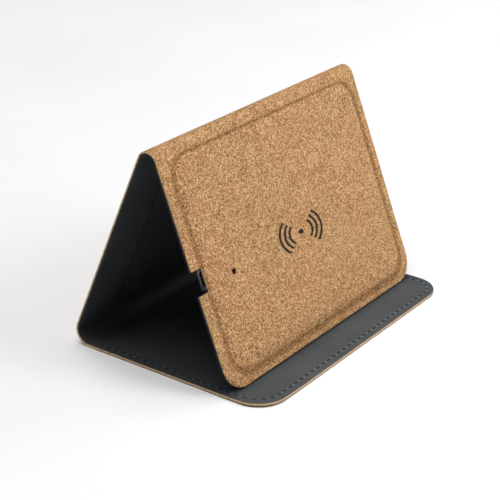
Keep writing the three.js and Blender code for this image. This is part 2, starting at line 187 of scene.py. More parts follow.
class Nodes:
    """Builds one procedural material, node by node."""

    def __init__(self, name):
        self.material = bpy.data.materials.new(name)
        self.material.use_nodes = True
        self.tree = self.material.node_tree
        self.shader = self.tree.nodes["Principled BSDF"]

    def add(self, kind, settings=None, **inputs):
        node = self.tree.nodes.new(kind)
        for key, value in (settings or {}).items():
            setattr(node, key, value)
        for key, value in inputs.items():
            self.feed(node, key.replace("_", " "), value)
        return node

    def feed(self, node, key, value):
        socket = node.inputs[int(key)] if key.isdigit() else node.inputs[key]
        if isinstance(value, bpy.types.NodeSocket):
            self.tree.links.new(value, socket)
        else:
            socket.default_value = value

    def place(self, kind):
        """Where a texture is read: 'sheet' in metres on the flat sheet, or 'object' in space."""
        if kind == "sheet":
            return self.add("ShaderNodeUVMap", {"uv_map": "sheet"}).outputs["UV"]
        return self.add("ShaderNodeTexCoord").outputs["Object"]

    def noise(self, place, scale, detail=3.0, rough=0.55):
        settings = {"Vector": place, "Scale": scale, "Detail": detail, "Roughness": rough}
        return self.add("ShaderNodeTexNoise", None, **settings).outputs["Fac"]

    def cells(self, place, scale, output="Color", feature="F1"):
        node = self.add("ShaderNodeTexVoronoi", {"feature": feature}, Vector=place, Scale=scale)
        return node.outputs[output]

    def ramp(self, value, *stops):
        node = self.add("ShaderNodeValToRGB", None, Fac=value)
        elements = node.color_ramp.elements
        while len(elements) < len(stops):
            elements.new(0.5)
        for element, (position, colour) in zip(elements, stops):
            element.position = position
            element.color = (*colour, 1) if len(colour) == 3 else colour
        return node.outputs["Color"]

    def grey(self, value, *stops):
        return self.ramp(value, *[(position, (level,) * 3) for position, level in stops])

    def math(self, operation, a, b=0.0):
        node = self.add("ShaderNodeMath", {"operation": operation})
        self.feed(node, "0", a)
        self.feed(node, "1", b)
        return node.outputs[0]

    def weighted(self, a, share_a, b, share_b):
        """Two values added, each scaled by its share."""
        return self.math("ADD", self.math("MULTIPLY", a, share_a), self.math("MULTIPLY", b, share_b))

    def mix(self, amount, a, b, blend="MIX"):
        node = self.add("ShaderNodeMix", {"data_type": "RGBA", "blend_type": blend})
        self.feed(node, "0", amount)
        self.feed(node, "6", a if isinstance(a, bpy.types.NodeSocket) else (*a, 1))
        self.feed(node, "7", b if isinstance(b, bpy.types.NodeSocket) else (*b, 1))
        return node.outputs[2]

    def bump(self, height, strength, distance):
        node = self.add("ShaderNodeBump", None, Height=height, Strength=strength, Distance=distance)
        return node.outputs["Normal"]

    def finish(self, colour=None, rough=None, normal=None, **constants):
        for key, value in (("Base Color", colour), ("Roughness", rough), ("Normal", normal)):
            if value is None:
                continue
            if key == "Base Color" and not isinstance(value, bpy.types.NodeSocket):
                value = (*value, 1)
            self.feed(self.shader, key, value)
        for key, value in constants.items():
            self.shader.inputs[key.replace("_", " ")].default_value = value
        return self.material


# --- Materials ---

CORK_DARK = (0.185, 0.078, 0.020)
CORK_BROWN = (0.355, 0.175, 0.063)
CORK_TAN = (0.515, 0.276, 0.108)
CORK_PALE = (0.74, 0.48, 0.268)
VALLEY_SHADE_TINT = (0.64, 0.59, 0.50)  # painted shade of the pad's pressed valley, with some of the pressed cork's own darker tone
GRANULE = 1950.0  # granules to the metre: about 0.5 mm each


def cork_material():
    """Pressed cork: granules of several tans, dark bark flecks, and small pits between them."""
    n = Nodes("cork")
    place = n.place("sheet")
    warp = n.add("ShaderNodeTexNoise", None, Vector=place, Scale=1400.0, Detail=2.0)
    shift = n.add("ShaderNodeVectorMath", {"operation": "MULTIPLY_ADD"})
    n.feed(shift, "0", warp.outputs["Color"])
    n.feed(shift, "1", (0.0006, 0.0006, 0.0006))
    n.feed(shift, "2", place)
    warped = shift.outputs[0]

    granule = n.add("ShaderNodeSeparateColor", None, Color=n.cells(warped, GRANULE)).outputs[0]
    fine = n.noise(warped, 2900.0, 4.0, 0.7)
    patches = n.noise(place, 110.0, 3.0)
    tone = n.weighted(granule, 0.76, fine, 1.6)
    tone = n.math("ADD", tone, n.math("MULTIPLY", patches, 0.2))
    tone = n.math("SUBTRACT", tone, 0.805)
    base = n.ramp(tone, (0.16, CORK_DARK), (0.34, CORK_BROWN), (0.53, CORK_TAN), (0.80, CORK_PALE))

    fleck = n.grey(n.noise(warped, 1300.0, 2.0, 0.5), (0.34, 1.0), (0.40, 0.0))
    coloured = n.mix(n.math("MULTIPLY", fleck, 0.75), base, CORK_DARK)
    warmth = n.ramp(n.noise(place, 25.0, 2.0), (0.35, (0.97, 1.0, 0.95)), (0.65, (1.03, 0.985, 0.98)))
    coloured = n.mix(1.0, coloured, warmth, "MULTIPLY")
    # Darkens the pad's valley: painted shade of the valley, with some of the pressed cork's own darker
    # tone.
    pressed = n.add("ShaderNodeAttribute", {"attribute_name": "pressed"}).outputs["Fac"]
    coloured = n.mix(pressed, coloured, VALLEY_SHADE_TINT, "MULTIPLY")

    crack = n.grey(n.cells(warped, GRANULE, "Distance", "DISTANCE_TO_EDGE"), (0.0, 0.0), (0.14, 1.0))
    height = n.weighted(crack, 0.35, fine, 0.65)
    height = n.math("SUBTRACT", height, n.math("MULTIPLY", fleck, 0.3))
    normal = n.bump(height, 0.55, 0.00016)
    rough = n.grey(fine, (0.3, 0.86), (0.7, 0.72))
    return n.finish(coloured, rough, normal, Specular_IOR_Level=0.28)


def grain_material(name, noise, stops, rough, bump, **constants):
    """Colour and bumps both follow one noise, given as scale, detail and roughness."""
    n = Nodes(name)
    grain = n.noise(n.place("object"), *noise)
    base = n.ramp(grain, *stops)
    return n.finish(base, rough, n.bump(grain, *bump), **constants)


def cork_edge_material(name, share):
    """A cut edge of the sheet's cork, with torn granules. share scales how pale it is."""
    dark, middle, pale = (0.20, 0.105, 0.042), (0.62, 0.41, 0.22), (0.90, 0.72, 0.48)
    tones = [tuple(share * c for c in colour) for colour in (dark, middle, pale)]
    stops = zip((0.30, 0.44, 0.62), tones)
    return grain_material(
        name, (1700.0, 4.0, 0.7), stops, 0.85, (0.6, 0.00012), Specular_IOR_Level=0.2
    )


def lining_material():
    """Dark grey grained leatherette, paler on the base's front strip and darkened elsewhere as painted
    shade for the stand's dark inside, with painted shade along the seam and the crease and painted glints
    between stitches.
    """
    n = Nodes("lining")
    place = n.place("sheet")
    pebble = n.cells(place, 2300.0, "Distance", "DISTANCE_TO_EDGE")
    creases = n.grey(pebble, (0.0, 0.0), (0.16, 1.0))
    soft = n.noise(place, 5200.0, 3.0)
    broad = n.noise(place, 34.0, 3.0)
    base = n.ramp(broad, (0.35, (0.061, 0.069, 0.074)), (0.66, (0.079, 0.087, 0.093)))
    base = n.mix(0.30, base, n.grey(creases, (0.0, 0.55), (1.0, 1.0)), "MULTIPLY")
    # The first attribute adds painted shade along the stitched groove and the back panel's crease; the
    # second adds a painted glint where the lining puffs up between stitches.
    pressed = n.add("ShaderNodeAttribute", {"attribute_name": "pressed"}).outputs["Fac"]
    painted_glint = n.add("ShaderNodeAttribute", {"attribute_name": "painted_glint"}).outputs["Fac"]
    base = n.mix(pressed, base, (0.22, 0.22, 0.23), "MULTIPLY")
    base = n.mix(painted_glint, base, (0.24, 0.25, 0.26))
    # Painted shade: everywhere but the base's front strip the lining is darkened to 0.55, for the shade
    # inside the stand.
    along = n.add("ShaderNodeSeparateXYZ", None, Vector=place).outputs["Y"]
    strip = n.grey(n.math("DIVIDE", along, 2 * LEDGE), (0.38, 1.0), (0.62, 0.0))
    base = n.mix(strip, n.mix(1.0, base, (0.55, 0.55, 0.55), "MULTIPLY"), base)
    height = n.weighted(creases, 0.6, soft, 0.4)
    normal = n.bump(height, 0.32, 0.00007)
    rough = n.grey(soft, (0.3, 0.50), (0.7, 0.62))
    return n.finish(base, rough, normal, Specular_IOR_Level=0.16)


def lining_edge_material():
    """The lining's cut edge, painted black."""
    stops = (0.35, (0.008, 0.008, 0.009)), (0.7, (0.024, 0.024, 0.026))
    return grain_material(
        "lining_cut_edge", (2600.0, 4.0, 0.6), stops, 0.7, (0.5, 0.00006), Specular_IOR_Level=0.2
    )


def thread_material():
    """Near-black twisted thread."""
    n = Nodes("thread")
    place = n.place("object")
    twist = n.add("ShaderNodeTexWave", {"bands_direction": "DIAGONAL"}, Vector=place, Scale=1100.0)
    ply = twist.outputs["Fac"]
    fuzz = n.noise(place, 6000.0, 2.0)
    base = n.ramp(n.weighted(ply, 0.6, fuzz, 0.4),
                  (0.2, (0.006, 0.006, 0.007)), (0.85, (0.030, 0.031, 0.033)))
    normal = n.bump(ply, 0.7, 0.00008)
    return n.finish(base, 0.55, normal, Specular_IOR_Level=0.35)


def ink_material():
    """Sign printed on cork: brown-black, broken where granules stand up."""
    stops = (0.36, (0.012, 0.009, 0.007)), (0.60, (0.032, 0.022, 0.015)), (0.74, (0.15, 0.085, 0.04))
    return grain_material(
        "sign_ink", (1500.0, 4.0, 0.65), stops, 0.8, (0.5, 0.0001), Specular_IOR_Level=0.2
    )


def plastic_material(name, colour, rough, texture=9000.0, strength=0.18):
    """Moulded plastic with a fine spark-eroded texture and faint tone changes."""
    n = Nodes(name)
    place = n.place("object")
    grain = n.noise(place, texture, 3.0)
    broad = n.noise(place, 120.0, 2.0)
    darker = tuple(0.82 * c for c in colour)
    base = n.ramp(broad, (0.35, darker), (0.65, colour))
    roughness = n.grey(grain, (0.35, rough - 0.05), (0.65, rough + 0.06))
    return n.finish(base, roughness, n.bump(grain, strength, 0.00002))


def metal_material(name, colour, rough):
    """Drawn or rolled metal, with fine lines along X and faint smudges."""
    n = Nodes(name)
    place = n.place("object")
    stretched = n.add("ShaderNodeMapping", None, Vector=place)
    stretched.inputs["Scale"].default_value = (0.06, 1, 1)
    lines = n.noise(stretched.outputs[0], 2600.0, 4.0)
    smudge = n.noise(place, 300.0, 2.0)
    darker = tuple(0.85 * c for c in colour)
    base = n.ramp(smudge, (0.3, darker), (0.7, colour))
    roughness = n.grey(lines, (0.3, rough - 0.06), (0.7, rough + 0.1))
    return n.finish(base, roughness, n.bump(lines, 0.15, 0.00001), Metallic=1.0)


def board_material():
    """Grey-brown pulp board."""
    stops = (0.3, (0.16, 0.125, 0.085)), (0.7, (0.32, 0.265, 0.19))
    return grain_material("grey_board", (2200.0, 5.0, 0.7), stops, 0.92, (0.4, 0.00005))


def foam_material():
    """Dark foam with open pores."""
    n = Nodes("foam")
    place = n.place("object")
    pores = n.grey(n.cells(place, 2600.0, "Distance"), (0.1, 0.2), (0.55, 1.0))
    base = n.ramp(pores, (0.2, (0.012, 0.012, 0.013)), (0.9, (0.05, 0.05, 0.053)))
    return n.finish(base, 0.95, n.bump(pores, 0.8, 0.0002))


def circuit_material():
    """Green solder mask over copper tracks that run on a fine square grid."""
    n = Nodes("circuit_board")
    place = n.place("object")
    tracks = n.add("ShaderNodeTexBrick", None, Vector=place, Scale=420.0)
    tracks.inputs["Mortar Size"].default_value = 0.03
    lines = tracks.outputs["Fac"]
    weave = n.noise(place, 1500.0, 2.0)
    mask = n.ramp(weave, (0.3, (0.006, 0.055, 0.022)), (0.7, (0.012, 0.085, 0.034)))
    base = n.mix(lines, mask, (0.035, 0.16, 0.06))
    return n.finish(base, 0.32, n.bump(lines, 0.4, 0.00004), Coat_Weight=0.4, Coat_Roughness=0.15)


def ceramic_material(name, colour):
    """Pressed powder with darker specks."""
    stops = (0.35, tuple(0.6 * c for c in colour)), (0.6, colour)
    return grain_material(name, (3800.0, 4.0, 0.7), stops, 0.6, (0.2, 0.00002))


MATERIALS = {
    "cork": cork_material(),
    "edge": cork_edge_material("cork_cut_edge", 0.8),
    # A dark cut edge for the base's bottom rim: painted contact shadow.
    "stain": cork_edge_material("rim_shadow_cut_edge", 0.22),
    "lining": lining_material(),
    "lining_edge": lining_edge_material(),
    "thread": thread_material(),
    "ink": ink_material(),
    "board": board_material(),
    "foam": foam_material(),
    "black_plastic": plastic_material("black_plastic", (0.012, 0.012, 0.013), 0.42),
    "smoked_plastic": plastic_material("smoked_plastic", (0.010, 0.007, 0.006), 0.16, 5000.0, 0.05),
    "chip": plastic_material("chip_epoxy", (0.022, 0.022, 0.024), 0.62),
    "led": plastic_material("led_body", (0.85, 0.80, 0.62), 0.25, 5000.0, 0.05),
    "circuit_board": circuit_material(),
    "ferrite": ceramic_material("ferrite", (0.045, 0.045, 0.048)),
    "capacitor": ceramic_material("capacitor", (0.42, 0.31, 0.19)),
    "copper": metal_material("enamelled_copper", (0.80, 0.36, 0.16), 0.28),
    "steel": metal_material("keeper_steel", (0.62, 0.63, 0.65), 0.34),
    "gilt": metal_material("gilt", (0.85, 0.58, 0.24), 0.22),
    "nickel": metal_material("nickel", (0.66, 0.65, 0.62), 0.24),
}


# --- Mesh helpers ---

SAME_PLACE = 0.001 * MM  # points nearer than this are one point
SHARP = radians(35)  # cut pieces get a sharp edge where their faces turn further than this
EDGE_OF = {"cork": "edge", "lining": "lining_edge"}  # the material of each skin's cut edge


def mesh_object(name, vertices, faces, materials, indices=None, uvs=None, sharp_angle=40):
    """A smooth-shaded mesh. indices gives each face's material, uvs each vertex's place on the sheet."""
    mesh = bpy.data.meshes.new(name)
    mesh.from_pydata([tuple(v) for v in vertices], [], faces)
    for material in materials:
        mesh.materials.append(MATERIALS[material])
    if indices is not None:
        mesh.polygons.foreach_set("material_index", indices)
    if uvs is not None:
        layer = mesh.uv_layers.new(name="sheet")
        for loop in mesh.loops:
            layer.data[loop.index].uv = uvs[loop.vertex_index]
    mesh.validate()
    mesh.update()
    obj = bpy.data.objects.new(name, mesh)
    bpy.context.scene.collection.objects.link(obj)
    mesh.shade_smooth()
    mesh.set_sharp_from_angle(angle=radians(sharp_angle))
    return obj


def outward(obj):
    """Joins points that coincide and turns every face outwards."""
    work = bmesh.new()
    work.from_mesh(obj.data)
    bmesh.ops.remove_doubles(work, verts=work.verts, dist=SAME_PLACE)
    bmesh.ops.recalc_face_normals(work, faces=work.faces)
    work.to_mesh(obj.data)
    work.free()


def mark(obj, name, strength):
    """Stores strength(point) at every point of obj, for its material to read."""
    layer = obj.data.attributes.new(name, "FLOAT", "POINT")
    for vertex in obj.data.vertices:
        layer.data[vertex.index].value = strength(vertex.co)


def place_piece(obj, body, slot, *nodes):
    """Rides a piece on its body, in place of the CAD nodes it stands for."""
    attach(obj, body)
    if nodes:
        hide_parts(*nodes)
    return obj


ARC = 12  # steps in a rounded corner
PLAIN_SPANS = (1, 1, 1, 1)  # no points between two corners


def rounded_loop(x0, x1, s0, s1, radii, spans):
    """Points round a rectangle from its lower left, counter-clockwise: corner arcs, then side points.

    radii are the four corners', and spans how many steps the four sides have, so that loops of
    different sizes match point for point.
    """
    corners = [(x0, s0, 1, 1, pi), (x1, s0, -1, 1, 1.5 * pi)]
    corners += [(x1, s1, -1, -1, 0.0), (x0, s1, 1, -1, 0.5 * pi)]
    arcs = []
    for (x, s, in_x, in_s, start), radius in zip(corners, radii):
        centre_x = x + in_x * radius
        centre_s = s + in_s * radius
        arc = []
        for i in range(ARC + 1):
            turn = start + i * pi / 2 / ARC
            arc.append((centre_x + radius * cos(turn), centre_s + radius * sin(turn)))
        arcs.append(arc)
    loop = []
    for k in range(4):
        loop += arcs[k]
        begin = arcs[k][-1]
        end = arcs[(k + 1) % 4][0]
        for i in range(1, spans[k]):
            share = i / spans[k]
            loop.append(tuple(a + (b - a) * share for a, b in zip(begin, end)))
    return loop


def quads(first, rings, count, wrap=False):
    """Quads from each ring of count points to the next, and from the last to the first if they wrap."""
    faces = []
    for r in range(rings if wrap else rings - 1):
        near = first + r * count
        far = first + (r + 1) % rings * count
        for i in range(count):
            j = (i + 1) % count
            faces.append((near + i, near + j, far + j, far + i))
    return faces


class Skin:
    """Collects a layered solid's rings, each with the number of the material that follows it."""

    def __init__(self):
        self.rings = []
        self.materials = []

    def add(self, loop, height, material=0):
        self.rings.append([(x, s, height) for x, s in loop])
        self.materials.append(material)

    def fill(self, loop, height, outward=True):
        """Flat rings inside the loop, from its middle outwards or back again."""
        for share in CORE_SHARES if outward else reversed(CORE_SHARES):
            self.add(shrunk(loop, share), height)

    def change_last(self, change):
        self.rings[-1] = [(x, s, change(x, s, n)) for x, s, n in self.rings[-1]]


def layered_solid(name, panel, skin, materials):
    """A closed solid whose skin is drawn through rings of (x, s, n) points that match point for point.

    The rings run from the middle of one face, over the rim, to the middle of the other face.
    """
    rings = skin.rings
    count = len(rings[0])
    vertices = []
    uvs = []
    for ring in rings:
        for x, s, n in ring:
            vertices.append(panel.at(x, s, n))
            uvs.append(panel.grain(x, s))
    last = (len(rings) - 1) * count
    faces = [tuple(range(count))] + quads(0, len(rings), count)
    faces.append(tuple(last + i for i in reversed(range(count))))
    indices = [0]
    for material in skin.materials[:-1]:
        indices += [material] * count
    indices.append(skin.materials[-1])
    obj = mesh_object(name, vertices, faces, materials, indices, uvs)
    outward(obj)
    return obj


def block_loop(x, s, length, width, radius):
    """A rectangle with rounded corners, by its middle and its size."""
    half_length = length / 2
    half_width = width / 2
    corners = x - half_length, x + half_length, s - half_width, s + half_width
    return rounded_loop(*corners, [radius] * 4, PLAIN_SPANS)


def columns_across(count, extra=()):
    """Places across the sheet: close together at both rims, even between, and any extra ones."""
    rim = [0.0, 0.08 * MM, 0.2 * MM, RIM + 0.03 * MM]
    even = [RIM + (WIDTH - 2 * RIM) * i / count for i in range(1, count)]
    return sorted(rim + even + [WIDTH - x for x in rim] + list(extra))


def sheet_faces(rows, columns):
    """Faces of a closed sheet on two grids of points, and their materials: 0 skin, 1 cut rim."""
    faces = []
    indices = []
    shift = rows * columns
    for r in range(rows - 1):
        for c in range(columns - 1):
            a = r * columns + c
            faces.append((a, a + 1, a + columns + 1, a + columns))
            faces.append((a + shift, a + columns + shift, a + columns + 1 + shift, a + 1 + shift))
            indices += [0, 0]
        for c in (0, columns - 1):
            a = r * columns + c
            faces.append((a, a + columns, a + columns + shift, a + shift))
            indices.append(1)
    for r in (0, rows - 1):
        for c in range(columns - 1):
            a = r * columns + c
            faces.append((a, a + shift, a + 1 + shift, a + 1))
            indices.append(0)
    return faces, indices


def straight_solid(name, near, far, materials):
    """A solid between two outlines that match point for point."""
    count = len(near)
    faces = [tuple(reversed(range(count))), tuple(range(count, 2 * count))]
    for i in range(count):
        j = (i + 1) % count
        faces.append((i, j, count + j, count + i))
    obj = mesh_object(name, near + far, faces, materials)
    outward(obj)
    return obj


def shrunk(loop, share):
    """A loop drawn in towards its middle, for the flat rings inside the last shaped one."""
    middle_x = sum(p[0] for p in loop) / len(loop)
    middle_s = sum(p[1] for p in loop) / len(loop)
    return [(middle_x + (x - middle_x) * share, middle_s + (s - middle_s) * share) for x, s in loop]


CORE_SHARES = (0.06, 0.2, 0.35, 0.5, 0.65, 0.8, 0.9)


# --- Camera, lights and floor ---


def make_camera():
    """Stands where the photograph was taken from."""
    yaw = radians(53.66)
    pitch = radians(24.62)
    data = bpy.data.cameras.new("camera")
    data.lens = 105.3
    data.sensor_width = 36
    data.clip_start = 0.01
    camera = bpy.data.objects.new("camera", data)
    camera.location = (-0.57234, -0.40961, 0.36073)
    ahead = Vector((sin(yaw) * cos(pitch), cos(yaw) * cos(pitch), -sin(pitch)))
    camera.rotation_euler = ahead.to_track_quat("-Z", "Y").to_euler()
    bpy.context.scene.collection.objects.link(camera)
    bpy.context.scene.camera = camera


def area_light(name, position, aim, size, power):
    """A round soft light pointed at aim."""
    data = bpy.data.lights.new(name, "AREA")
    data.shape = "DISK"
    data.size = size
    data.energy = power
    light = bpy.data.objects.new(name, data)
    light.location = position
    light.rotation_euler = (Vector(aim) - Vector(position)).to_track_quat("-Z", "Y").to_euler()
    bpy.context.scene.collection.objects.link(light)


def overhead_light():
    """A wide soft light from straight above, even all over the floor."""
    data = bpy.data.lights.new("overhead", "SUN")
    data.energy = 2.3
    data.angle = radians(55)
    light = bpy.data.objects.new("overhead", data)
    light.rotation_euler = Vector((0.12, -0.04, -1)).to_track_quat("-Z", "Y").to_euler()
    bpy.context.scene.collection.objects.link(light)


def make_studio():
    """Plain soft light and a pale floor wide enough to fill every view from above it."""
    world = bpy.data.worlds.new("studio")
    world.use_nodes = True
    background = world.node_tree.nodes["Background"]
    background.inputs["Color"].default_value = (1, 1, 1, 1)
    background.inputs["Strength"].default_value = 0.11
    bpy.context.scene.world = world
    area_light("key", (0.28, -0.86, 0.68), (0, 0, 0.04), 0.5, 5.15)
    area_light("fill", (0.8, -0.35, 0.6), (0, 0, 0.05), 0.7, 2.1)
    overhead_light()
    bpy.context.scene.view_settings.view_transform = "Standard"

    n = Nodes("pale_floor")
    tone = n.noise(n.place("object"), 9.0, 2.0)
    paper = n.finish(n.ramp(tone, (0.3, (0.90, 0.90, 0.905)), (0.7, (0.93, 0.93, 0.935))), 0.75)
    bpy.ops.mesh.primitive_plane_add(size=60, location=(0, 0, 0))
    floor = bpy.context.object
    floor.name = "floor"
    floor.data.materials.append(paper)


# --- Base ---

BASE_SPANS = (260, 170, 260, 170)  # steps along the four sides, so that each stitch gets several
BASE_INSETS = [  # in millimetres, close together where the stitches dip
    14, 10, 7, 4.9, 4.6, 4.3, 4.05, 3.8, 3.55, 3.3, 3.05, 2.8, 2.5, 2.2, 1.6, 0.7, 0.4, 0.2, 0.08, 0.0,
]
DIP_HALF_WIDTH = 1.1 * MM
SHADE_HALF_WIDTH = 0.95 * MM


def corner_curl(x, s):
    """How far the base has lifted off the table here, near its front left corner."""
    away = hypot(x, s)
    return CURL_RISE * smooth(1 - away / CURL_REACH) if away < CURL_REACH else 0.0


def base_loop(inset):
    """A loop inside the base's rim. The seam lies further in along the front edge than along the sides."""
    radius = max(BASE_CORNER - inset, 0.2 * MM)
    front = inset + (STITCH["front"] - STITCH["side"]) * smooth((inset - 0.7 * MM) / (2.6 * MM))
    last = BASE_LENGTH - FOLD_OVERLAP
    return rounded_loop(inset, WIDTH - inset, front, last, [radius, radius, 0, 0], BASE_SPANS)


def seam_distance(x, s):
    """How far along the stitched line a point near it lies, from the end of the left side onwards."""
    radius = STITCH["corner"]
    low = STITCH["front"] + radius
    first = STITCH["side"] + radius
    last = WIDTH - first
    quarter = radius * pi / 2
    if s >= low:
        return low - s if x < WIDTH / 2 else 2 * quarter + last - first + s - low
    if x < first:
        return radius * atan2(low - s, first - x)
    if x > last:
        return quarter + last - first + radius * atan2(x - last, low - s)
    return quarter + x - first


def seam_dip(inset, x, s, pitch):
    """Each stitch draws the lining down, and it puffs up again between two stitches."""
    phase = 2 * pi * seam_distance(x, s) / pitch
    under = smooth(0.9 + 1.1 * cos(phase))
    return bump(inset - STITCH["side"], DIP_HALF_WIDTH) * (0.26 * under - 0.06) * MM


def rim_round(inset):
    """How far the skin has curved away at this many millimetres in from the cut rim."""
    return ROUND_DROP * max(0.0, 1 - inset / ROUND_REACH) ** 2


def make_base_skin(name, slot, node, face, back, dips):
    """One skin of the base, from its outer face, over the cut rim, to its inner face."""
    pitch = seam_pitch()
    outer = [base_loop(i * MM) for i in BASE_INSETS]
    sign = 1 if back > face else -1
    skin = Skin()

    def add(loop, depth, material):
        skin.add(loop, -depth, material)
        skin.change_last(lambda x, s, n: n - corner_curl(x, s))

    for share in CORE_SHARES:
        add(shrunk(outer[0], share), face, 0)
    for inset, loop in zip(BASE_INSETS, outer):
        add(loop, face + sign * rim_round(inset), 0)
        if dips:
            skin.change_last(lambda x, s, n: n - seam_dip(inset * MM, x, s, pitch))
    meet = BASE_MEET - SKIN_GAP if face < back else BASE_MEET
    materials = [slot, EDGE_OF[slot]]
    skin.materials[-1] = 1
    # The cork's rim next to its face is dark: painted contact shadow where the base meets the table.
    if slot == "cork":
        materials.append("stain")
        skin.materials[-1] = 2
        add(outer[-1], RIM_SHADOW_DEPTH, 1)
    add(outer[-1], meet, 1)
    add(base_loop(RIM), meet, 1)
    add(base_loop(RIM + 0.05 * MM), back, 0)
    for share in reversed(CORE_SHARES):
        add(shrunk(outer[0], share), back, 0)
    obj = layered_solid(name, base_panel, skin, materials)
    if dips:
        mark_seam(obj, pitch)
    return place_piece(obj, "base", slot, node)


def mark_seam(obj, pitch):
    """Stores painted shade where the thread's groove shades the lining, and a painted glint where the
    lining puffs up between stitches.
    """
    corner = STITCH["corner"]
    first = STITCH["side"] + corner

    def near_and_wave(point):
        x = point.x - X_LEFT
        s = point.y - BASE_FRONT
        inset = min(x, WIDTH - x) - STITCH["side"]
        if s < STITCH["front"] + corner:
            middle_x = min(max(x, first), WIDTH - STITCH["side"] - corner)
            inset = corner - hypot(x - middle_x, s - STITCH["front"] - corner)
        wave = cos(2 * pi * seam_distance(x, s) / pitch)
        return bump(inset, SHADE_HALF_WIDTH), wave

    # Painted shade along the stitched groove.
    def shaded(point):
        near, wave = near_and_wave(point)
        return near * smooth(0.8 + wave)

    def painted_glint(point):
        # Painted glint on the lining where it puffs up between stitches.
        near, wave = near_and_wave(point)
        return 0.8 * near * smooth(-1.1 - 2 * wave)

    mark(obj, "pressed", shaded)
    mark(obj, "painted_glint", painted_glint)


def seam_line():
    """The stitched line as a closed run of points, and the length of each step."""
    radius = STITCH["corner"]
    radii = [radius, radius, 2 * MM, 2 * MM]
    side = STITCH["side"]
    loop = rounded_loop(side, WIDTH - side, STITCH["front"], STITCH["rear"], radii, (60, 40, 60, 40))
    points = [Vector(p) for p in loop]
    points.append(points[0])
    return points, [(b - a).length for a, b in zip(points, points[1:])]


def seam_pitch():
    """The stitch length nearest the usual one that goes round a whole number of times."""
    total = sum(seam_line()[1])
    return total / round(total / THREAD["pitch"])


def seam_path():
    """Points and headings along the stitched line round the base, a stitch apart."""
    points, lengths = seam_line()
    total = sum(lengths)
    count = round(total / THREAD["pitch"])
    places = []
    for k in range(count):
        wanted = k * total / count
        i = 0
        while wanted > lengths[i]:
            wanted -= lengths[i]
            i += 1
        step = (points[i + 1] - points[i]).normalized()
        places.append((points[i] + step * wanted, step))
    return places


def make_stitches():
    """Each stitch is a thread that comes up out of the lining, lies over it and goes down again."""
    random.seed(4)
    vertices = []
    faces = []
    rings, sides = 11, 8
    for centre, along in seam_path():
        across = Vector((-along.y, along.x))
        lean = random.uniform(-0.05, 0.05)
        heading = (along + across * lean).normalized()
        side = Vector((-heading.y, heading.x))
        half = THREAD["length"] / 2 * random.uniform(0.96, 1.03)
        first = len(vertices)
        for r in range(rings):
            t = -1 + 2 * r / (rings - 1)
            arch = 1 - t ** 4
            lift = -0.32 * MM + 0.28 * MM * arch
            thick = THREAD["thick"] / 2 * (0.62 + 0.38 * arch)
            middle = centre + heading * (t * half)
            for k in range(sides):
                turn = 2 * pi * k / sides
                x, s = middle + side * (thick * cos(turn))
                up = SHEET + lift + 0.75 * thick * sin(turn) + corner_curl(x, s)
                vertices.append(Vector((X_LEFT + x, BASE_FRONT + s, up)))
        faces += quads(first, rings, sides)
        faces.append(tuple(first + k for k in reversed(range(sides))))
        last = first + (rings - 1) * sides
        faces.append(tuple(last + k for k in range(sides)))
    obj = mesh_object("base_edge_stitches", vertices, faces, ["thread"])
    outward(obj)
    return place_piece(obj, "base", "thread", "base_edge_stitching")


# --- Folds ---


def make_fold(name, slot, node, fold, face, back):
    """One skin round a fold, with a short flat run onto the panel at each end."""
    centre, radius, start, turn, v_start, meets, end_overlap, bodies = fold
    steps = 48
    side_view = []
    flats = 3
    for i in range(flats):
        side_view.append((start, -FOLD_OVERLAP * (1 - i / flats)))
    for i in range(steps + 1):
        side_view.append((start + turn * i / steps, 0.0))
    for i in range(flats):
        side_view.append((start + turn, end_overlap * (i + 1) / flats))
    xs = columns_across(40)
    sign = 1 if back > face else -1
    gap = SKIN_GAP if face < back else 0.0

    def point(x, angle, flat, depth):
        tangent = angle + pi / 2
        p = centre + polar(angle, radius - depth) + polar(tangent, flat)
        return Vector((X_LEFT + x, p.x, p.y))

    vertices = []
    uvs = []
    for depth_kind in ("face", "back"):
        for angle, flat in side_view:
            distance = v_start + radius * (angle - start) + flat
            meet = meets[0] + (meets[1] - meets[0]) * (angle - start) / turn - gap
            for x in xs:
                edge = min(x, WIDTH - x)
                if depth_kind == "face":
                    depth = face + sign * rim_round(edge / MM)
                else:
                    depth = back if edge > RIM else meet
                vertices.append(point(x, angle, flat, depth))
                uvs.append((x, distance))
    faces, indices = sheet_faces(len(side_view), len(xs))
    obj = mesh_object(name, vertices, faces, [slot, EDGE_OF[slot]], indices, uvs)
    outward(obj)
    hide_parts(node)
    begin = point(WIDTH / 2, start, 0, face)
    end = point(WIDTH / 2, start + turn, 0, face)
    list(bodies)
    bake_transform(obj)
    return obj


# --- Back panel ---


def lining_creases(x, s):
    """A pressed line along the left side, and faint slanted wrinkles beside it."""
    line = -0.34 * MM * bump(x - PRESSED_LINE, 0.9 * MM)
    wrinkle = 0.0
    for k in range(3):
        lane = x - PRESSED_LINE - (14 + 19 * k) * MM - 0.22 * s
        wrinkle += 0.08 * MM * bump(lane, 5 * MM)
    return line + wrinkle


